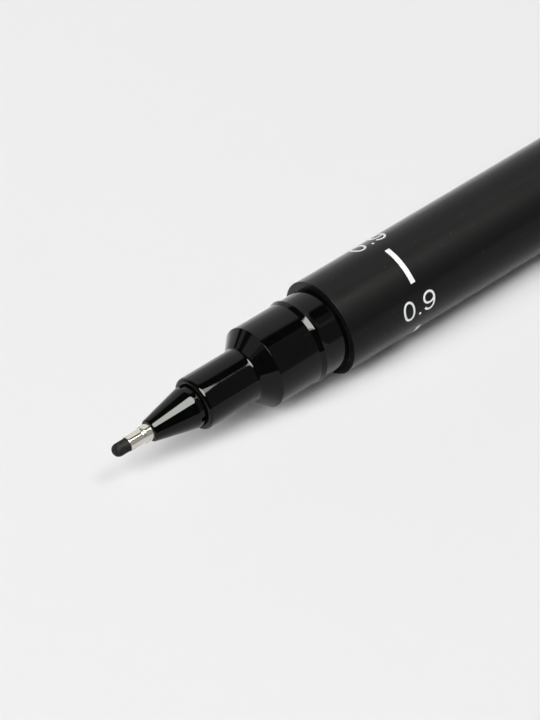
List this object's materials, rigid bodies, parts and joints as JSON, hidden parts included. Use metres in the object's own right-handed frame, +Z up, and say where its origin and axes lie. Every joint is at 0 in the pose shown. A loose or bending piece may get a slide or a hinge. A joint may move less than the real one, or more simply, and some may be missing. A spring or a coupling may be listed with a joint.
{
  "type": "fineliner pen",
  "caption": "Slim black fineliner with a fibre nib in a steel sleeve, stepped gloss grip and matte barrel; its sealed cap with a spring clip is posted on the tail and pulls off.",
  "frame": {"origin": "on the pen's axis, halfway along the barrel", "axes": "+X along the axis from the nib to the tail and the posted cap, +Z up with the pen lying on a table, +Y away from the side that the clip is on"},
  "size_m": [0.1547, 0.0133, 0.011],
  "materials": {
    "nib_fibre": "matte pressed fibre, ink black",
    "sleeve_steel": "bright drawn stainless steel",
    "nose_gloss": "moulded, high gloss black",
    "grip_gloss": "moulded, high gloss black",
    "wick_fibre": "bonded fibre soaked with ink",
    "core_fibre": "bonded fibre soaked with ink",
    "film_clear": "thin milky film",
    "barrel_matte": "fine matte black with white line width print",
    "plug_gloss": "moulded, high gloss black",
    "cap_matte": "fine matte black",
    "inner_cap_plain": "natural soft polyethylene",
    "crown_gloss": "moulded, high gloss black",
    "clip_steel": "bright spring steel strip"
  },
  "bodies": {
    "pen": {"nib": "nib_fibre", "nib_sleeve": "sleeve_steel", "nose_cone": "nose_gloss", "grip_section": "grip_gloss", "feed_wick": "wick_fibre", "reservoir_core": "core_fibre", "reservoir_film": "film_clear", "barrel": "barrel_matte", "tail_plug": "plug_gloss"},
    "cap": {"cap_shell": "cap_matte", "inner_cap": "inner_cap_plain", "cap_crown": "crown_gloss"},
    "clip": {"clip": "clip_steel"}
  },
  "joints": [
    {"name": "cap_slide", "type": "slide", "parent": "pen", "child": "cap", "axis": [1, 0, 0], "range_m": [0, 0.02]},
    {"name": "clip_flex", "type": "hinge", "parent": "cap", "child": "clip", "pos_m": [0.07755, -0.00444, -0.00241], "axis": [0, -0.4772, 0.8788], "range_deg": [0, 6], "stiffness_Nm_per_rad": 0.2, "springref_deg": -2.29}
  ]
}
